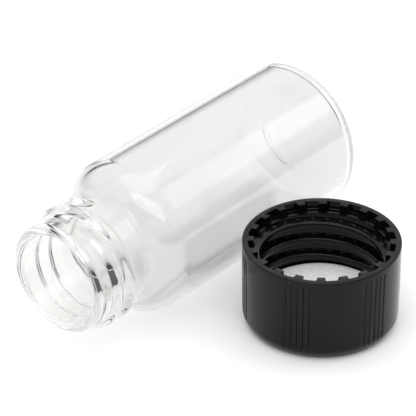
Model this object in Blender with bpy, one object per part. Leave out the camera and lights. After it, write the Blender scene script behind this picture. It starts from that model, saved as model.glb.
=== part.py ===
"""Screw-capped glass sample vial, lying on its side, with its cap and two-ply liner standing by it."""

import math

import bmesh
import bpy
from mathutils import Matrix, Vector

MM = 0.001

# Glass vial, measured along its own axis from the base to the mouth.
VIAL_RADIUS = 13.75 * MM
VIAL_LENGTH = 63.5 * MM
SIDE_WALL = 1.2 * MM
BASE_WALL = 1.3 * MM
SHOULDER_DROP = 18.5 * MM
SHOULDER_ROUND = 6.0 * MM
BASE_ROUND = 2.1 * MM
FLOOR_ROUND = 1.0 * MM
FOOT_WIDTH = 3.2 * MM
PUSH_UP = 0.5 * MM

# Threaded neck.
NECK_RADIUS = 9.85 * MM
BORE_RADIUS = 7.8 * MM
NECK_FILLET = 1.6 * MM
BORE_FILLET = 3.0 * MM
LIP_ROUND = 0.75 * MM
THREAD_PITCH = 3.175 * MM
NECK_THREAD_HEIGHT = 1.05 * MM
NECK_THREAD_FOOT = 2.2 * MM
NECK_THREAD_CREST = 0.9 * MM
NECK_THREAD_START = 3.5 * MM
NECK_THREAD_TURNS = 1.95
NECK_THREAD_ANGLE = math.radians(-16)

# Cap, measured up from its closed face.
CAP_HEIGHT = 15.6 * MM
CAP_WALL = 2.0 * MM
CAP_TOP = 1.6 * MM
CAP_DRAFT = 0.15 * MM
CAP_EDGE_ROUND = 2.4 * MM
RIM_ROUND = 0.25 * MM
CAP_SPIN = math.radians(20)
CAP_THREAD_FOOT = 1.6 * MM
CAP_THREAD_CREST = 0.6 * MM
CAP_THREAD_START = 2.6 * MM
CAP_THREAD_ANGLE = math.radians(156)
RADIAL_CLEARANCE = 0.5 * MM
CREST_CLEARANCE = 0.45 * MM

# Ratchet lugs round the rim, left standing between pockets.
LUG_COUNT = 20
LUG_WIDTH = 1.45 * MM
LUG_RAMP = 0.47 * MM
POCKET_DEPTH = 1.6 * MM
RIM_RING = 1.0 * MM

# Grip grooves in the outer wall.
GROOVE_GROUPS = 6
GROOVES_PER_GROUP = 5
GROOVE_STEP = math.radians(4.45)
GROOVE_WIDTH = 0.6 * MM
GROOVE_FLOOR = 0.42 * MM
GROOVE_DEPTH = 0.2 * MM
GROOVE_MARGIN = 1.1 * MM

# Liner discs.
FACING_THICKNESS = 0.8 * MM
BACKING_THICKNESS = 0.8 * MM
LINER_EDGE = 0.12 * MM
FIT_GAP = 0.3 * MM

# Lay-out on the surface and the way the cap is carried to the mouth.
LAY_GAP = 0.3 * MM
CAP_ALONG = 4.0 * MM
MOUTH_CLEARANCE = 2.0 * MM

# Resolution and working margins.
TURN_SEGMENTS = 72
THREAD_SEGMENTS = 36
THREAD_FADE = math.radians(40)
THREAD_END_RISE = 0.1
ARC_STEP = math.radians(18)
CUT_MARGIN = 0.5 * MM
THREAD_BITE = 0.3 * MM
SHARP_ANGLE = math.radians(35)
MERGE_DISTANCE = 0.01 * MM

SHOULDER_START = VIAL_LENGTH - SHOULDER_DROP
CAP_RADIUS = NECK_RADIUS + NECK_THREAD_HEIGHT + RADIAL_CLEARANCE + CAP_WALL
CAP_BORE = CAP_RADIUS - CAP_WALL
CAP_CREST = NECK_RADIUS + CREST_CLEARANCE
LINER_RADIUS = CAP_BORE - FIT_GAP
BACKING_BOTTOM = CAP_TOP + FIT_GAP
FACING_BOTTOM = BACKING_BOTTOM + BACKING_THICKNESS + FIT_GAP
FACING_TOP = FACING_BOTTOM + FACING_THICKNESS

LAY_WIDTH = 2 * VIAL_RADIUS + LAY_GAP + 2 * CAP_RADIUS
VIAL_Y = LAY_WIDTH / 2 - VIAL_RADIUS
CAP_Y = CAP_RADIUS - LAY_WIDTH / 2


def clear_scene():
    for obj in list(bpy.data.objects):
        bpy.data.objects.remove(obj, do_unlink=True)


def make_material(name, colour, roughness, metallic=0.0, transmission=0.0, ior=1.5):
    material = bpy.data.materials.new(name)
    material.use_nodes = True
    shader = material.node_tree.nodes["Principled BSDF"]
    shader.inputs["Base Color"].default_value = (*colour, 1.0)
    shader.inputs["Roughness"].default_value = roughness
    shader.inputs["Metallic"].default_value = metallic
    shader.inputs["Transmission Weight"].default_value = transmission
    shader.inputs["IOR"].default_value = ior
    return material


def arc(centre_r, centre_z, radius, start, end):
    """Points (r, z) round an arc, both ends included, with angles from +r towards +z."""
    steps = max(2, math.ceil(abs(end - start) / ARC_STEP))
    angles = [start + (end - start) * step / steps for step in range(steps + 1)]
    return [(centre_r + radius * math.cos(a), centre_z + radius * math.sin(a)) for a in angles]


def add_object(name, mesh):
    obj = bpy.data.objects.new(name, mesh)
    bpy.context.scene.collection.objects.link(obj)
    return obj


def turned(name, profile):
    """A profile of (r, z) points, up the inside and down the outside, turned about Z."""
    mesh = bpy.data.meshes.new(name)
    edges = [(index, index + 1) for index in range(len(profile) - 1)]
    mesh.from_pydata([(r, 0.0, z) for r, z in profile], edges, [])
    obj = add_object(name, mesh)
    screw = obj.modifiers.new("Turn", "SCREW")
    screw.steps = TURN_SEGMENTS
    screw.render_steps = TURN_SEGMENTS
    screw.use_merge_vertices = True
    screw.merge_threshold = MERGE_DISTANCE
    return obj


def loft(mesh_builder, sections):
    """Closes a run of equal-length sections into one tube with flat ends."""
    rings = [[mesh_builder.verts.new(point) for point in section] for section in sections]
    count = len(rings[0])
    for lower, upper in zip(rings, rings[1:]):
        for index in range(count):
            after = (index + 1) % count
            mesh_builder.faces.new((lower[index], lower[after], upper[after], upper[index]))
    mesh_builder.faces.new(rings[0][::-1])
    mesh_builder.faces.new(rings[-1])


def lofted(name, groups):
    """One object from several lofts, each a closed body."""
    mesh_builder = bmesh.new()
    for sections in groups:
        loft(mesh_builder, sections)
    bmesh.ops.recalc_face_normals(mesh_builder, faces=mesh_builder.faces)
    mesh = bpy.data.meshes.new(name)
    mesh_builder.to_mesh(mesh)
    mesh_builder.free()
    return add_object(name, mesh)


def screw_ridge(name, root, crest, foot_width, crest_width, top_z, start_angle, turns):
    """A right-handed ridge that starts at top_z and winds down, fading out at both ends."""
    steps = round(THREAD_SEGMENTS * turns)
    outward = math.copysign(1, crest - root)
    buried = root - outward * THREAD_BITE
    sections = []
    for step in range(steps + 1):
        turned_by = math.tau * turns * step / steps
        angle = start_angle - turned_by
        height = top_z - THREAD_PITCH * turned_by / math.tau
        left = math.tau * turns - turned_by
        rise = math.sin(math.pi / 2 * min(1.0, turned_by / THREAD_FADE, left / THREAD_FADE))
        top = buried + (crest - buried) * max(rise, THREAD_END_RISE)
        shape = [
            (buried, -foot_width / 2),
            (buried, foot_width / 2),
            (top, crest_width / 2),
            (top, -crest_width / 2),
        ]
        sections.append([(r * math.cos(angle), r * math.sin(angle), height + z) for r, z in shape])
    return lofted(name, [sections])


def apply_booleans(obj, steps):
    """Joins or cuts in turn, keeps the result as the object's own mesh and drops the tools."""
    for operation, tool in steps:
        tool.hide_render = True
        tool.display_type = "WIRE"
        boolean = obj.modifiers.new(tool.name, "BOOLEAN")
        boolean.operation = operation
        boolean.solver = "EXACT"
        boolean.object = tool
    graph = bpy.context.evaluated_depsgraph_get()
    mesh = bpy.data.meshes.new_from_object(obj.evaluated_get(graph))
    obj.modifiers.clear()
    obj.data = mesh
    mesh.name = obj.name
    for _, tool in steps:
        bpy.data.objects.remove(tool, do_unlink=True)
    mesh.shade_smooth()
    mesh.set_sharp_from_angle(angle=SHARP_ANGLE)


def paint(obj, material):
    obj.data.materials.clear()
    obj.data.materials.append(material)


def tangent_rise(radius_a, radius_b, offset):
    """Height between the centres of two touching arcs whose centres lie this far apart sideways."""
    return math.sqrt((radius_a + radius_b) ** 2 - offset**2)


def vial_profile():
    shoulder_r = VIAL_RADIUS - SHOULDER_ROUND
    inner_round = SHOULDER_ROUND - SIDE_WALL
    fillet_r = NECK_RADIUS + NECK_FILLET
    fillet_rise = tangent_rise(SHOULDER_ROUND, NECK_FILLET, fillet_r - shoulder_r)
    outer_turn = math.atan2(fillet_rise, fillet_r - shoulder_r)
    bore_fillet_r = BORE_RADIUS + BORE_FILLET
    bore_rise = tangent_rise(inner_round, BORE_FILLET, bore_fillet_r - shoulder_r)
    inner_turn = math.atan2(bore_rise, bore_fillet_r - shoulder_r)
    quarter = math.pi / 2
    foot_r = VIAL_RADIUS - BASE_ROUND
    floor_r = VIAL_RADIUS - SIDE_WALL - FLOOR_ROUND
    lip_z = VIAL_LENGTH - LIP_ROUND

    inside = [(0.0, BASE_WALL + PUSH_UP)]
    inside += arc(floor_r, BASE_WALL + FLOOR_ROUND, FLOOR_ROUND, -quarter, 0.0)
    inside += arc(shoulder_r, SHOULDER_START, inner_round, 0.0, inner_turn)
    inside += arc(bore_fillet_r, SHOULDER_START + bore_rise, BORE_FILLET, math.pi + inner_turn, math.pi)
    lip = arc(BORE_RADIUS + LIP_ROUND, lip_z, LIP_ROUND, math.pi, quarter)
    lip += arc(NECK_RADIUS - LIP_ROUND, lip_z, LIP_ROUND, quarter, 0.0)
    outside = arc(fillet_r, SHOULDER_START + fillet_rise, NECK_FILLET, math.pi, math.pi + outer_turn)
    outside += arc(shoulder_r, SHOULDER_START, SHOULDER_ROUND, outer_turn, 0.0)
    outside += arc(foot_r, BASE_ROUND, BASE_ROUND, 0.0, -quarter)
    outside += [(foot_r - FOOT_WIDTH, 0.0), (0.0, PUSH_UP)]
    return drop_repeats(inside + lip + outside)


def drop_repeats(points):
    kept = points[:1]
    for point in points[1:]:
        if math.dist(point, kept[-1]) > MERGE_DISTANCE:
            kept.append(point)
    return kept


def make_vial(material):
    vial = turned("glass_vial", vial_profile())
    thread = screw_ridge(
        "neck_thread",
        NECK_RADIUS,
        NECK_RADIUS + NECK_THREAD_HEIGHT,
        NECK_THREAD_FOOT,
        NECK_THREAD_CREST,
        VIAL_LENGTH - NECK_THREAD_START,
        NECK_THREAD_ANGLE,
        NECK_THREAD_TURNS,
    )
    apply_booleans(vial, [("UNION", thread)])
    paint(vial, material)
    vial.rotation_euler.y = -math.pi / 2
    vial.location = (VIAL_LENGTH / 2, VIAL_Y, VIAL_RADIUS)
    return vial


def wall_radius(z):
    return CAP_RADIUS - CAP_DRAFT * (1 - z / CAP_HEIGHT)


def cap_profile():
    quarter = math.pi / 2
    edge_r = wall_radius(CAP_EDGE_ROUND) - CAP_EDGE_ROUND
    rim_z = CAP_HEIGHT - RIM_ROUND
    points = [(0.0, CAP_TOP), (CAP_BORE, CAP_TOP), (CAP_BORE, CAP_HEIGHT)]
    points += arc(CAP_RADIUS - RIM_ROUND, rim_z, RIM_ROUND, quarter, 0.0)
    points += arc(edge_r, CAP_EDGE_ROUND, CAP_EDGE_ROUND, 0.0, -quarter)
    points.append((0.0, 0.0))
    return points


def at_angle(radial, tangential, z, angle):
    """A point given by distances along the radius at an angle and square to it."""
    across = radial * math.cos(angle) - tangential * math.sin(angle)
    along = radial * math.sin(angle) + tangential * math.cos(angle)
    return (across, along, z)


def pocket_tools():
    """Cutters that leave the lugs standing, each steep at one end and ramped at the other."""
    outer = CAP_RADIUS - RIM_RING
    floor = CAP_HEIGHT - POCKET_DEPTH
    inner = CAP_BORE - CUT_MARGIN
    top = CAP_HEIGHT + CUT_MARGIN
    outline = [(outer, top), (outer, floor), (inner, floor), (inner, top)]
    middle = (outer + CAP_BORE) / 2
    width = math.tau * middle / LUG_COUNT - LUG_WIDTH
    groups = []
    for index in range(LUG_COUNT):
        angle = math.tau * (index + 0.5) / LUG_COUNT
        steep = [at_angle(r, -width / 2, z, angle) for r, z in outline]
        ramped = [
            at_angle(r, width / 2 - LUG_RAMP * (CAP_HEIGHT - z) / POCKET_DEPTH, z, angle)
            for r, z in outline
        ]
        groups.append([steep, ramped])
    return lofted("rim_pockets", groups)


def groove_tools():
    """Cutters for the grip grooves, which run out on the rounded edge of the closed end."""
    groups = []
    low = 0.0
    high = CAP_HEIGHT - GROOVE_MARGIN
    middle = (GROOVES_PER_GROUP - 1) / 2
    for group in range(GROOVE_GROUPS):
        for index in range(GROOVES_PER_GROUP):
            angle = math.tau * group / GROOVE_GROUPS + (index - middle) * GROOVE_STEP
            sections = []
            for z in (low, high):
                outer = wall_radius(z) + CUT_MARGIN
                floor = wall_radius(z) - GROOVE_DEPTH
                flare = GROOVE_FLOOR + (GROOVE_WIDTH - GROOVE_FLOOR) * (outer - floor) / GROOVE_DEPTH
                shape = [
                    (floor, -GROOVE_FLOOR / 2),
                    (floor, GROOVE_FLOOR / 2),
                    (outer, flare / 2),
                    (outer, -flare / 2),
                ]
                sections.append([at_angle(r, t, z, angle) for r, t in shape])
            groups.append(sections)
    return lofted("grip_grooves", groups)


def make_cap(material):
    cap = turned("cap_shell", cap_profile())
    top_z = CAP_HEIGHT - CAP_THREAD_START
    lowest = FACING_TOP + FIT_GAP + CAP_THREAD_FOOT / 2
    thread = screw_ridge(
        "cap_thread",
        CAP_BORE,
        CAP_CREST,
        CAP_THREAD_FOOT,
        CAP_THREAD_CREST,
        top_z,
        CAP_THREAD_ANGLE,
        (top_z - lowest) / THREAD_PITCH,
    )
    cuts = [("DIFFERENCE", pocket_tools()), ("DIFFERENCE", groove_tools())]
    apply_booleans(cap, cuts + [("UNION", thread)])
    paint(cap, material)
    return cap


def make_disc(name, radius, bottom, thickness, material):
    top = bottom + thickness
    profile = [
        (0.0, top),
        (radius - LINER_EDGE, top),
        (radius, top - LINER_EDGE),
        (radius, bottom + LINER_EDGE),
        (radius - LINER_EDGE, bottom),
        (0.0, bottom),
    ]
    disc = turned(name, profile)
    apply_booleans(disc, [])
    paint(disc, material)
    return disc


def carry_axis():
    """A point on, and the direction of, the line about which one turn brings the cap to face the mouth."""
    start = Vector((CAP_ALONG, CAP_Y, CAP_HEIGHT))
    end = Vector((-VIAL_LENGTH / 2 - MOUTH_CLEARANCE, VIAL_Y, VIAL_RADIUS))
    move = end - start
    axis = -Vector((1.0, -(move.x + move.z) / move.y, 1.0)).normalized()
    up = Vector((0.0, 0.0, 1.0))
    mouthward = Vector((1.0, 0.0, 0.0))
    flat_up = up - up.project(axis)
    flat_mouthward = mouthward - mouthward.project(axis)
    turn = math.atan2(axis.dot(flat_up.cross(flat_mouthward)), flat_up.dot(flat_mouthward)) % math.tau
    centre = (start + end) / 2 + axis.cross(move) / (2 * math.tan(turn / 2))
    return centre, axis


def add_empty(name, location, direction):
    empty = add_object(name, None)
    facing = direction.to_track_quat("Z", "Y").to_matrix().to_4x4()
    empty.matrix_world = Matrix.Translation(location) @ facing
    return empty


def build():
    clear_scene()
    glass = make_material("clear_glass", (0.95, 0.95, 0.96), 0.02, transmission=1.0, ior=1.5)
    plastic = make_material("black_plastic", (0.025, 0.025, 0.027), 0.35)
    facing = make_material("liner_facing", (0.62, 0.62, 0.61), 0.6)
    backing = make_material("liner_backing", (0.74, 0.72, 0.68), 0.8)

    make_vial(glass)
    cap = make_cap(plastic)
    facing_disc = make_disc("liner_facing", LINER_RADIUS, FACING_BOTTOM, FACING_THICKNESS, facing)
    backing_disc = make_disc("liner_backing", LINER_RADIUS, BACKING_BOTTOM, BACKING_THICKNESS, backing)

    carry = add_empty("carry_pivot", *carry_axis())
    for piece in (cap, facing_disc, backing_disc):
        piece.location = (CAP_ALONG, CAP_Y, 0.0)
        piece.rotation_euler.z = CAP_SPIN
        piece.parent = carry
        piece.matrix_parent_inverse = carry.matrix_world.inverted()


build()
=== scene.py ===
import bisect
import math

import bpy
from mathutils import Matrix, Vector


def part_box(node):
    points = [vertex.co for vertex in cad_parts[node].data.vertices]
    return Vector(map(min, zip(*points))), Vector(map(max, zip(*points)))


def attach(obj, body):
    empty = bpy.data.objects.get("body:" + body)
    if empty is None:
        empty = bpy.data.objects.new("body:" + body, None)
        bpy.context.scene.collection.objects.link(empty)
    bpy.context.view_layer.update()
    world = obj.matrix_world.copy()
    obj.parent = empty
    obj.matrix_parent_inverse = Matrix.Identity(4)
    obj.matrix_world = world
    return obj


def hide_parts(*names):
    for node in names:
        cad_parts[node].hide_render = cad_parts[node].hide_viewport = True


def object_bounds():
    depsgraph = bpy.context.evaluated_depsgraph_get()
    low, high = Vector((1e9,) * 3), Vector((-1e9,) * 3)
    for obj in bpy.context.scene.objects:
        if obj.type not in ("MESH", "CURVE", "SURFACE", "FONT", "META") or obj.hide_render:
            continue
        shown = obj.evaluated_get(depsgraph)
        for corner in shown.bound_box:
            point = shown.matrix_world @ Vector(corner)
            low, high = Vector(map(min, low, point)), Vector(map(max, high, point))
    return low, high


# A screw-capped glass sample vial lying on its side, with its black cap beside it, open side up.

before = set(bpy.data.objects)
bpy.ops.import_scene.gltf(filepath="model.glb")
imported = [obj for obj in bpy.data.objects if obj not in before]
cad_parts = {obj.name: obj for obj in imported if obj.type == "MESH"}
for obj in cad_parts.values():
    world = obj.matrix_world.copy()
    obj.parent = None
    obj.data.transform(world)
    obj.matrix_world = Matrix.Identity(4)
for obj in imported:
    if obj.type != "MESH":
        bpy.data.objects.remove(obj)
cad_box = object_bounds()

MM = 0.001

# Glass vial. Its radius, length and place come from its part's box in model.glb.
SIDE_WALL = 1.2 * MM
BASE_WALL = 1.3 * MM
SHOULDER_DROP = 18.5 * MM
SHOULDER_ROUND = 6.0 * MM
BASE_ROUND = 2.1 * MM
FLOOR_ROUND = 1.5 * MM
FOOT_WIDTH = 3.2 * MM
FOOT_EDGE = 0.4 * MM
PUSH_UP = 0.5 * MM
NECK_RADIUS = 9.85 * MM
BORE_RADIUS = 7.8 * MM
NECK_FILLET = 1.6 * MM
BORE_FILLET = 3.0 * MM
LIP_ROUND = 0.95 * MM
THREAD_PITCH = 3.175 * MM
NECK_THREAD_HEIGHT = 1.05 * MM
NECK_THREAD_HALF = 1.55 * MM
NECK_THREAD_START = 3.5 * MM
NECK_THREAD_TURNS = 1.95
NECK_THREAD_ANGLE = math.radians(-16)
THREAD_FADE = math.radians(40)
NECK_THREAD_FULLNESS = 1.1

# Cap. Its radius, height and place come from its part's box in model.glb.
CAP_WALL = 2.0 * MM
CAP_TOP = 1.6 * MM
CAP_DRAFT = 0.15 * MM
CAP_EDGE_ROUND = 2.4 * MM
CAP_CORNER_ROUND = 0.3 * MM
RIM_ROUND = 0.25 * MM
CAP_SPIN = math.radians(20)
CAP_THREAD_HEIGHT = 1.1 * MM
CAP_THREAD_HALF = 0.85 * MM
CAP_THREAD_FULLNESS = 3.0
CAP_THREAD_START = 2.6 * MM
CAP_THREAD_END = 4.9 * MM
CAP_THREAD_ANGLE = math.radians(156)
LUG_COUNT = 20
LUG_WIDTH = 1.45 * MM
LUG_RAMP = 0.47 * MM
POCKET_DEPTH = 1.6 * MM
RIM_RING = 1.0 * MM
SHELF_EDGE = 0.15 * MM
SHELF_CURVE = 0.3
BEAD_RISE = 0.14 * MM
BEAD_HALF = 0.22 * MM
EDGE_SOFT = 0.06 * MM
GROOVE_GROUPS = 6
GROOVES_PER_GROUP = 5
GROOVE_STEP = math.radians(4.45)
GROOVE_WIDTH = 0.62 * MM
GROOVE_FLOOR = 0.24 * MM
GROOVE_DEPTH = 0.16 * MM
GROOVE_MARGIN = 1.1 * MM

# Materials. Colours are linear, and each noise is its scale and its detail.
NOISE_RANGE = (0.3, 0.7)

# Glass. The neck's colour carries a faint painted warm reflection and gives way to the body's between
# two places along the vial.
GLASS_NECK_PAINTED_WARM_REFLECTION = (0.845, 0.84, 0.825)
GLASS_BODY = (0.838, 0.832, 0.838)
PAINTED_REFLECTION_FADE = (-20 * MM, -10 * MM)
GLASS_PASSING = (0.93, 0.93, 0.935, 1.0)
GLASS_IOR = 1.5
GLASS_ROUGHNESS = (0.0, 0.03)
GLASS_WAVES = (260, 2)
GLASS_WAVE_STRETCH = (0.12, 1.0, 1.0)
GLASS_WAVE_HEIGHT = 0.004 * MM
GLASS_REFLECTIONS = 2.5

# Black plastic.
PLASTIC_DARK = (0.002, 0.002, 0.0022)
PLASTIC_LIGHT = (0.004, 0.004, 0.0043)
PLASTIC_IOR = 1.5
PLASTIC_SPECULAR = 0.2
PLASTIC_ROUGHNESS = (0.10, 0.15)
PLASTIC_CLOUDS = (160, 3)
PLASTIC_GRAIN = (3500, 2)
PLASTIC_GRAIN_HEIGHT = 0.006 * MM

# The liner's two plies.
FACING_DARK = (0.74, 0.735, 0.735)
FACING_LIGHT = (0.92, 0.915, 0.915)
FACING_ROUGHNESS = 0.55
FACING_FLECKS = (2600, 3)
FACING_FLECK_HEIGHT = 0.02 * MM
BACKING_DARK = (0.58, 0.55, 0.50)
BACKING_LIGHT = (0.74, 0.71, 0.66)
BACKING_ROUGHNESS = 0.85
BACKING_PULP = (1200, 5)
BACKING_PULP_HEIGHT = 0.04 * MM

# Floor.
FLOOR_HALF = 3.0
FLOOR_DROP = 0.05 * MM
FLOOR_COLOUR = (0.9, 0.9, 0.9, 1.0)
FLOOR_ROUGHNESS = 0.9

# Light tent. Each part has a direction, a range of the cosine from it, and the levels over that range.
TENT_WAY = (0.55, 0.45, 0.7)
TENT_RANGE = (-0.6, 0.8)
TENT_LEVELS = (0.22, 1.15)
KEY_WAY = (0.646, -0.394, 0.654)
KEY_RANGE = (math.cos(math.radians(17)), math.cos(math.radians(9)))
KEY_LEVELS = (0.0, 1.3)
HORIZON_WAY = (0.0, 0.0, 1.0)
HORIZON_RANGE = (0.10, 0.32)
HORIZON_LEVELS = (0.05, 1.0)
BACKDROP = (0.86, 0.86, 0.86, 1.0)

# Lamps, in metres and watts.
LAMP_POWER = 3.4
OVERHEAD_PLACE = (-0.02, -0.05, 0.95)
OVERHEAD_SIZE = (1.2, 1.2)
LEFT_FILL_PLACE = (-0.50, -0.35, 0.80)
LEFT_FILL_SIZE = (1.2, 0.5)

# Fineness of the turned surfaces.
NECK_ROW = 0.15 * MM
CAP_ROW = 0.11 * MM
VIAL_STEPS = 256
CAP_STEPS = 288
ARC_STEP = math.radians(9)
SHARP_ANGLE = math.radians(32)
ANGLE_DIGITS = 5

# Camera, from a point on the floor given from the middle of the model's box.
TARGET = (18.24 * MM, 23.17 * MM)
AZIMUTH = math.radians(220.30)
ELEVATION = math.radians(32.13)
DISTANCE = 539.5 * MM
LENS_MM = 259.6
SENSOR_MM = 36.0
CLIP_NEAR = 0.01
CLIP_FAR = 20.0


def arc(centre_r, centre_z, radius, start, end):
    """Points (r, z) round an arc, both ends included."""
    steps = max(2, math.ceil(abs(end - start) / ARC_STEP))
    angles = [start + (end - start) * step / steps for step in range(steps + 1)]
    return [(centre_r + radius * math.cos(a), centre_z + radius * math.sin(a)) for a in angles]


def rows(start, end, spacing):
    """Heights from start to end, evenly spaced, without the two ends."""
    steps = max(1, math.ceil(abs(end - start) / spacing))
    return [start + (end - start) * step / steps for step in range(1, steps)]


def ridge(angle, z, start_angle, top_z, turns, half_width, fullness):
    """How far, from 0 to 1, a right-handed thread stands out here. It winds down from top_z."""
    best = 0.0
    turned = (start_angle - angle) % math.tau
    while turned <= turns * math.tau:
        off = abs(z - (top_z - THREAD_PITCH * turned / math.tau)) / half_width
        if off < 1:
            end = min(1.0, turned / THREAD_FADE, (turns * math.tau - turned) / THREAD_FADE)
            rise = math.sin(math.pi / 2 * end)
            best = max(best, rise * math.cos(math.pi / 2 * off**fullness) ** 2)
        turned += math.tau
    return best


def turned_mesh(name, angles, profile_at, place):
    """A closed skin through one profile per angle. Each profile begins and ends on the axis."""
    profiles = [profile_at(angle) for angle in angles]
    inner = range(1, len(profiles[0]) - 1)
    points = [place(angle, *profile[k]) for angle, profile in zip(angles, profiles) for k in inner]
    width = len(inner)
    first = len(points)
    last = first + 1
    points.append(place(0.0, *profiles[0][0]))
    points.append(place(0.0, *profiles[0][-1]))
    faces = []
    for turn in range(len(angles)):
        here = turn * width
        after = (turn + 1) % len(angles) * width
        faces.append((first, here, after))
        faces.append((last, after + width - 1, here + width - 1))
        for k in range(width - 1):
            faces.append((here + k, here + k + 1, after + k + 1, after + k))
    mesh = bpy.data.meshes.new(name)
    mesh.from_pydata(points, [], faces)
    mesh.validate()
    mesh.shade_smooth()
    mesh.set_sharp_from_angle(angle=SHARP_ANGLE)
    obj = bpy.data.objects.new(name, mesh)
    bpy.context.scene.collection.objects.link(obj)
    return obj


def tangent_rise(radius_a, radius_b, offset):
    """How far apart along z two touching arcs' centres lie, when they lie offset apart across it."""
    return math.sqrt((radius_a + radius_b) ** 2 - offset**2)


def build_vial():
    """The glass, turned about the vial's axis. Heights z run from the base to the mouth."""
    low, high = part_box("glass_vial")
    radius = (high.z - low.z) / 2
    length = high.x - low.x
    centre_y = (low.y + high.y) / 2
    centre_z = (low.z + high.z) / 2
    quarter = math.pi / 2
    shoulder_z = length - SHOULDER_DROP
    shoulder_r = radius - SHOULDER_ROUND
    fillet_r = NECK_RADIUS + NECK_FILLET
    fillet_rise = tangent_rise(SHOULDER_ROUND, NECK_FILLET, fillet_r - shoulder_r)
    outer_turn = math.atan2(fillet_rise, fillet_r - shoulder_r)
    inner_round = SHOULDER_ROUND - SIDE_WALL
    bore_r = BORE_RADIUS + BORE_FILLET
    bore_rise = tangent_rise(inner_round, BORE_FILLET, bore_r - shoulder_r)
    inner_turn = math.atan2(bore_rise, bore_r - shoulder_r)
    floor_r = radius - SIDE_WALL - FLOOR_ROUND
    foot_r = radius - BASE_ROUND
    lip_z = length - LIP_ROUND
    neck_z = shoulder_z + fillet_rise

    inside = [(0.0, BASE_WALL + PUSH_UP)]
    inside += arc(floor_r, BASE_WALL + FLOOR_ROUND, FLOOR_ROUND, -quarter, 0.0)
    inside += arc(shoulder_r, shoulder_z, inner_round, 0.0, inner_turn)
    inside += arc(bore_r, shoulder_z + bore_rise, BORE_FILLET, math.pi + inner_turn, math.pi)[1:]
    inside += arc(BORE_RADIUS + LIP_ROUND, lip_z, LIP_ROUND, math.pi, quarter)
    lip = arc(NECK_RADIUS - LIP_ROUND, lip_z, LIP_ROUND, quarter, 0.0)
    outside = arc(fillet_r, neck_z, NECK_FILLET, math.pi, math.pi + outer_turn)[1:]
    outside += arc(shoulder_r, shoulder_z, SHOULDER_ROUND, outer_turn, 0.0)[1:]
    outside += arc(foot_r, BASE_ROUND, BASE_ROUND, 0.0, -quarter)
    outside += [(foot_r - FOOT_WIDTH, 0.0), (foot_r - FOOT_WIDTH - FOOT_EDGE, PUSH_UP / 3)]
    outside += [(0.0, PUSH_UP)]

    def profile_at(angle):
        neck = []
        for z in [lip_z - EDGE_SOFT] + rows(lip_z, neck_z, NECK_ROW) + [neck_z]:
            rise = ridge(
                angle,
                z,
                NECK_THREAD_ANGLE,
                length - NECK_THREAD_START,
                NECK_THREAD_TURNS,
                NECK_THREAD_HALF,
                NECK_THREAD_FULLNESS,
            )
            neck.append((NECK_RADIUS + NECK_THREAD_HEIGHT * rise, z))
        return inside + lip + neck + outside

    def place(angle, r, z):
        return (high.x - z, centre_y + r * math.sin(angle), centre_z + r * math.cos(angle))

    angles = [math.tau * step / VIAL_STEPS for step in range(VIAL_STEPS)]
    vial = turned_mesh("vial_glass", angles, profile_at, place)
    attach(vial, "vial")
    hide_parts("glass_vial")
    return vial


def steps_between(stops, angle):
    """The value at an angle, by straight lines between (angle, value) stops."""
    at = bisect.bisect_right([stop[0] for stop in stops], angle)
    if at == 0:
        return stops[0][1]
    if at == len(stops):
        return stops[-1][1]
    (a, low), (b, high) = stops[at - 1], stops[at]
    return low + (high - low) * (angle - a) / (b - a)


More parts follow.
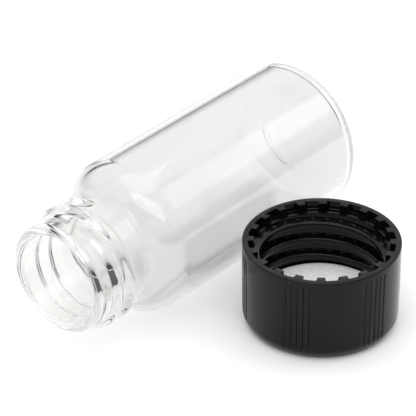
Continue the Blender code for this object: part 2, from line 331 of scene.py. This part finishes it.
def build_cap():
    """The cap's moulding. Heights z run from the closed end up to the rim."""
    low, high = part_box("cap_shell")
    height = high.z - low.z
    centre_x = (low.x + high.x) / 2
    centre_y = (low.y + high.y) / 2
    radius = (high.x - low.x) / 2
    bore = radius - CAP_WALL
    ring = radius - RIM_RING
    floor = height - POCKET_DEPTH
    shelf_low = floor - SHELF_EDGE
    quarter = math.pi / 2

    # Stops round the rim: 1 on a lug and 0 in a pocket, steep at one end and ramped at the other.
    lug_step = math.tau / LUG_COUNT
    middle = (ring + bore) / 2
    half = (lug_step * middle - LUG_WIDTH) / 2 / middle
    lug_stops = []
    for index in range(-1, LUG_COUNT + 1):
        at = lug_step * (index + 0.5)
        lug_stops.append((at - half - EDGE_SOFT / middle, 1.0))
        lug_stops.append((at - half, 0.0))
        lug_stops.append((at + half - LUG_RAMP / middle, 0.0))
        lug_stops.append((at + half, 1.0))

    # Stops round the wall: 1 on a groove's floor and 0 between the grooves.
    groove_stops = []
    for group in range(GROOVE_GROUPS + 1):
        for index in range(GROOVES_PER_GROUP):
            at = math.tau * group / GROOVE_GROUPS + (index - (GROOVES_PER_GROUP - 1) / 2) * GROOVE_STEP
            for side, value in ((-1, 0.0), (-1, 1.0), (1, 1.0), (1, 0.0)):
                width = GROOVE_FLOOR if value else GROOVE_WIDTH
                groove_stops.append((at + side * width / 2 / radius, value))

    def wall(z):
        return radius - CAP_DRAFT * (1 - z / height)

    def bead(z):
        """The raised line round the bore, just under the rim's pockets."""
        off = abs(z - shelf_low) / BEAD_HALF
        return BEAD_RISE * math.cos(math.pi / 2 * min(off, 1.0)) ** 2

    edge_r = wall(CAP_EDGE_ROUND) - CAP_EDGE_ROUND
    inner_rows = rows(CAP_TOP + CAP_CORNER_ROUND, shelf_low, CAP_ROW)
    corner = arc(bore - CAP_CORNER_ROUND, CAP_TOP + CAP_CORNER_ROUND, CAP_CORNER_ROUND, -quarter, 0.0)
    rim = arc(radius - RIM_ROUND, height - RIM_ROUND, RIM_ROUND, quarter, 0.0)
    edge = arc(edge_r, CAP_EDGE_ROUND, CAP_EDGE_ROUND, 0.0, -quarter)
    groove_top = height - GROOVE_MARGIN
    thread_top = height - CAP_THREAD_START
    thread_turns = (thread_top - CAP_THREAD_END) / THREAD_PITCH

    def profile_at(angle):
        lug = steps_between(lug_stops, angle)
        groove = steps_between(groove_stops, angle)
        points = [(0.0, CAP_TOP)] + corner
        for z in inner_rows:
            rise = ridge(
                angle,
                z,
                CAP_THREAD_ANGLE,
                thread_top,
                thread_turns,
                CAP_THREAD_HALF,
                CAP_THREAD_FULLNESS,
            )
            points.append((bore - max(CAP_THREAD_HEIGHT * rise, bead(z)), z))
        points.append((bore - bead(shelf_low), shelf_low))
        pocket_edge = [
            (bore + SHELF_EDGE * SHELF_CURVE, floor - SHELF_EDGE * SHELF_CURVE),
            (bore + SHELF_EDGE, floor),
            (ring - EDGE_SOFT, floor),
            (ring, floor + EDGE_SOFT),
            (ring, height - EDGE_SOFT),
        ]
        lug_edge = [
            (bore, floor + SHELF_EDGE),
            (bore, height - 2 * EDGE_SOFT),
            (bore + EDGE_SOFT / 2, height - EDGE_SOFT / 2),
            (bore + 2 * EDGE_SOFT, height),
            (ring - EDGE_SOFT, height),
        ]
        for (pocket_r, pocket_z), (lug_r, lug_z) in zip(pocket_edge, lug_edge):
            points.append((pocket_r + (lug_r - pocket_r) * lug, pocket_z + (lug_z - pocket_z) * lug))
        points.append((ring + EDGE_SOFT, height))
        points += rim
        outer = [(wall(groove_top + EDGE_SOFT), groove_top + EDGE_SOFT)]
        outer += [(wall(z) - GROOVE_DEPTH * groove, z) for z in (groove_top, height / 2)]
        outer += [(min(r, wall(z) - GROOVE_DEPTH * groove), z) for r, z in edge]
        return points + outer + [(0.0, 0.0)]

    def place(angle, r, z):
        turn = angle + CAP_SPIN
        return (centre_x + r * math.cos(turn), centre_y + r * math.sin(turn), low.z + z)

    even = [math.tau * step / CAP_STEPS for step in range(CAP_STEPS)]
    all_stops = [stop[0] for stop in lug_stops + groove_stops if 0 <= stop[0] < math.tau]
    angles = sorted({round(angle, ANGLE_DIGITS) for angle in all_stops + even})
    cap = turned_mesh("cap_moulding", angles, profile_at, place)
    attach(cap, "cap")
    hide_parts("cap_shell")
    return cap


def new_material(name):
    """A material with its nodes, its links and its Principled shader."""
    material = bpy.data.materials.new(name)
    material.use_nodes = True
    nodes = material.node_tree.nodes
    return material, nodes, material.node_tree.links, nodes["Principled BSDF"]


def noise(nodes, links, scale, detail, stretch=(1.0, 1.0, 1.0)):
    """A noise in the object's own coordinates, in metres. Returns its value socket."""
    coordinates = nodes.new("ShaderNodeTexCoord")
    mapping = nodes.new("ShaderNodeMapping")
    mapping.inputs["Scale"].default_value = stretch
    texture = nodes.new("ShaderNodeTexNoise")
    texture.inputs["Scale"].default_value = scale
    texture.inputs["Detail"].default_value = detail
    links.new(coordinates.outputs["Object"], mapping.inputs["Vector"])
    links.new(mapping.outputs["Vector"], texture.inputs["Vector"])
    return texture.outputs["Fac"]


def ramp(nodes, links, source, low, high, start=0.35, end=0.65):
    """A colour that runs from low to high as the source runs from start to end."""
    node = nodes.new("ShaderNodeValToRGB")
    node.color_ramp.elements[0].position = start
    node.color_ramp.elements[0].color = (*low, 1.0)
    node.color_ramp.elements[1].position = end
    node.color_ramp.elements[1].color = (*high, 1.0)
    links.new(source, node.inputs["Fac"])
    return node.outputs["Color"]


def map_range(nodes, links, source, span, levels, smooth=False):
    """A number that runs from the first level to the last as the source runs over the span."""
    node = nodes.new("ShaderNodeMapRange")
    if smooth:
        node.interpolation_type = "SMOOTHSTEP"
    node.inputs["From Min"].default_value = span[0]
    node.inputs["From Max"].default_value = span[1]
    node.inputs["To Min"].default_value = levels[0]
    node.inputs["To Max"].default_value = levels[1]
    links.new(source, node.inputs["Value"])
    return node.outputs["Result"]


def bump(nodes, links, source, distance):
    """A normal that makes the surface rise and fall with the source, in metres."""
    node = nodes.new("ShaderNodeBump")
    node.inputs["Strength"].default_value = 1.0
    node.inputs["Distance"].default_value = distance
    links.new(source, node.inputs["Height"])
    return node.outputs["Normal"]


def glass_material():
    """Clear glass with a faint straw tint painted into the thick neck as a painted warm reflection, and
    with the slight waves of drawn tube.

    Lamps shine straight through it, and so does a ray that has already been reflected inside it
    three times, because the renderer would soon stop following that ray and leave a black patch.
    """
    material, nodes, links, shader = new_material("vial_clear_glass")
    place = nodes.new("ShaderNodeTexCoord")
    along = nodes.new("ShaderNodeSeparateXYZ")
    links.new(place.outputs["Object"], along.inputs["Vector"])
    # The neck's faint warm tint is a painted reflection; it fades into the body's colour along the
    # vial.
    painted_reflection_fade_mask = map_range(nodes, links, along.outputs["X"], PAINTED_REFLECTION_FADE, (0.0, 1.0))
    colour = ramp(nodes, links, painted_reflection_fade_mask, GLASS_NECK_PAINTED_WARM_REFLECTION, GLASS_BODY, 0.0, 1.0)
    links.new(colour, shader.inputs["Base Color"])
    shader.inputs["Transmission Weight"].default_value = 1.0
    shader.inputs["IOR"].default_value = GLASS_IOR
    waves = noise(nodes, links, *GLASS_WAVES, GLASS_WAVE_STRETCH)
    roughness = map_range(nodes, links, waves, NOISE_RANGE, GLASS_ROUGHNESS)
    links.new(roughness, shader.inputs["Roughness"])
    links.new(bump(nodes, links, waves, GLASS_WAVE_HEIGHT), shader.inputs["Normal"])
    path = nodes.new("ShaderNodeLightPath")
    passing = nodes.new("ShaderNodeBsdfTransparent")
    passing.inputs["Color"].default_value = GLASS_PASSING
    deep = nodes.new("ShaderNodeMath")
    deep.operation = "GREATER_THAN"
    deep.inputs[1].default_value = GLASS_REFLECTIONS
    links.new(path.outputs["Glossy Depth"], deep.inputs[0])
    either = nodes.new("ShaderNodeMath")
    either.operation = "MAXIMUM"
    links.new(deep.outputs["Value"], either.inputs[0])
    links.new(path.outputs["Is Shadow Ray"], either.inputs[1])
    pick = nodes.new("ShaderNodeMixShader")
    links.new(either.outputs["Value"], pick.inputs["Fac"])
    links.new(shader.outputs["BSDF"], pick.inputs[1])
    links.new(passing.outputs["BSDF"], pick.inputs[2])
    links.new(pick.outputs["Shader"], nodes["Material Output"].inputs["Surface"])
    return material


def plastic_material():
    """Black moulded plastic, slightly clouded, with a fine grain."""
    material, nodes, links, shader = new_material("cap_black_plastic")
    shader.inputs["IOR"].default_value = PLASTIC_IOR
    shader.inputs["Specular IOR Level"].default_value = PLASTIC_SPECULAR
    clouds = noise(nodes, links, *PLASTIC_CLOUDS)
    grain = noise(nodes, links, *PLASTIC_GRAIN)
    colour = ramp(nodes, links, clouds, PLASTIC_DARK, PLASTIC_LIGHT)
    roughness = map_range(nodes, links, clouds, NOISE_RANGE, PLASTIC_ROUGHNESS)
    links.new(colour, shader.inputs["Base Color"])
    links.new(roughness, shader.inputs["Roughness"])
    links.new(bump(nodes, links, grain, PLASTIC_GRAIN_HEIGHT), shader.inputs["Normal"])
    return material


def facing_material():
    """The light grey, finely flecked face of the liner."""
    material, nodes, links, shader = new_material("liner_grey_facing")
    flecks = noise(nodes, links, *FACING_FLECKS)
    colour = ramp(nodes, links, flecks, FACING_DARK, FACING_LIGHT)
    links.new(colour, shader.inputs["Base Color"])
    shader.inputs["Roughness"].default_value = FACING_ROUGHNESS
    links.new(bump(nodes, links, flecks, FACING_FLECK_HEIGHT), shader.inputs["Normal"])
    return material


def backing_material():
    """The coarser, buff-coloured ply under the facing."""
    material, nodes, links, shader = new_material("liner_pulp_backing")
    pulp = noise(nodes, links, *BACKING_PULP)
    colour = ramp(nodes, links, pulp, BACKING_DARK, BACKING_LIGHT)
    links.new(colour, shader.inputs["Base Color"])
    shader.inputs["Roughness"].default_value = BACKING_ROUGHNESS
    links.new(bump(nodes, links, pulp, BACKING_PULP_HEIGHT), shader.inputs["Normal"])
    return material


def wear(obj, material):
    """Gives the object this one material."""
    obj.data.materials.clear()
    obj.data.materials.append(material)


def build_floor():
    """A matt white floor, just under everything that stands on it."""
    corners = ((-1, -1), (1, -1), (1, 1), (-1, 1))
    points = [(x * FLOOR_HALF, y * FLOOR_HALF, -FLOOR_DROP) for x, y in corners]
    mesh = bpy.data.meshes.new("floor")
    mesh.from_pydata(points, [], [(0, 1, 2, 3)])
    obj = bpy.data.objects.new("floor", mesh)
    bpy.context.scene.collection.objects.link(obj)
    material, _, _, shader = new_material("floor_white")
    shader.inputs["Base Color"].default_value = FLOOR_COLOUR
    shader.inputs["Roughness"].default_value = FLOOR_ROUGHNESS
    shader.inputs["Specular IOR Level"].default_value = 0.0
    wear(obj, material)


def toward(nodes, links, source, direction):
    """How nearly the source vector points along a direction, from -1 to 1."""
    node = nodes.new("ShaderNodeVectorMath")
    node.operation = "DOT_PRODUCT"
    node.inputs[1].default_value = Vector(direction).normalized()
    links.new(source, node.inputs[0])
    return node.outputs["Value"]


def build_world():
    """A light tent, bright overhead and behind the objects and dark along the horizon, with a soft key.

    The camera itself sees a plain pale backdrop in its place.
    """
    world = bpy.data.worlds.new("studio")
    bpy.context.scene.world = world
    world.use_nodes = True
    nodes = world.node_tree.nodes
    links = world.node_tree.links
    way = nodes.new("ShaderNodeTexCoord").outputs["Generated"]
    tent_way = toward(nodes, links, way, TENT_WAY)
    tent = map_range(nodes, links, tent_way, TENT_RANGE, TENT_LEVELS)
    key_way = toward(nodes, links, way, KEY_WAY)
    key = map_range(nodes, links, key_way, KEY_RANGE, KEY_LEVELS, smooth=True)
    horizon_way = toward(nodes, links, way, HORIZON_WAY)
    horizon = map_range(nodes, links, horizon_way, HORIZON_RANGE, HORIZON_LEVELS, smooth=True)
    total = nodes.new("ShaderNodeMath")
    total.operation = "MULTIPLY_ADD"
    links.new(tent, total.inputs[0])
    links.new(horizon, total.inputs[1])
    links.new(key, total.inputs[2])
    links.new(total.outputs["Value"], nodes["Background"].inputs["Color"])
    backdrop = nodes.new("ShaderNodeBackground")
    backdrop.inputs["Color"].default_value = BACKDROP
    path = nodes.new("ShaderNodeLightPath")
    seen = nodes.new("ShaderNodeMixShader")
    links.new(path.outputs["Is Camera Ray"], seen.inputs["Fac"])
    links.new(nodes["Background"].outputs["Background"], seen.inputs[1])
    links.new(backdrop.outputs["Background"], seen.inputs[2])
    links.new(seen.outputs["Shader"], nodes["World Output"].inputs["Surface"])


def area_light(name, place, size):
    """A rectangular lamp, turned to face the frame's origin."""
    data = bpy.data.lights.new(name, "AREA")
    data.shape = "RECTANGLE"
    data.size, data.size_y = size
    data.energy = LAMP_POWER
    obj = bpy.data.objects.new(name, data)
    obj.location = place
    obj.rotation_euler = (-Vector(place)).to_track_quat("-Z", "Y").to_euler()
    bpy.context.scene.collection.objects.link(obj)


def build_camera():
    """The photo's view, as worked out from its outlines."""
    data = bpy.data.cameras.new("camera")
    data.lens = LENS_MM
    data.sensor_width = SENSOR_MM
    data.clip_start = CLIP_NEAR
    data.clip_end = CLIP_FAR
    obj = bpy.data.objects.new("camera", data)
    middle = (cad_box[0] + cad_box[1]) / 2
    target = Vector((middle.x + TARGET[0], middle.y + TARGET[1], 0.0))
    across = DISTANCE * math.cos(ELEVATION)
    up = DISTANCE * math.sin(ELEVATION)
    away = Vector((across * math.cos(AZIMUTH), across * math.sin(AZIMUTH), up))
    obj.location = target + away
    obj.rotation_euler = (-away).to_track_quat("-Z", "Y").to_euler()
    bpy.context.scene.collection.objects.link(obj)
    bpy.context.scene.camera = obj


wear(build_vial(), glass_material())
wear(build_cap(), plastic_material())
wear(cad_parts["liner_facing"], facing_material())
wear(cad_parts["liner_backing"], backing_material())
build_floor()
build_world()
area_light("overhead", OVERHEAD_PLACE, OVERHEAD_SIZE)
area_light("left_fill", LEFT_FILL_PLACE, LEFT_FILL_SIZE)
build_camera()
bpy.context.scene.view_settings.view_transform = "Standard"
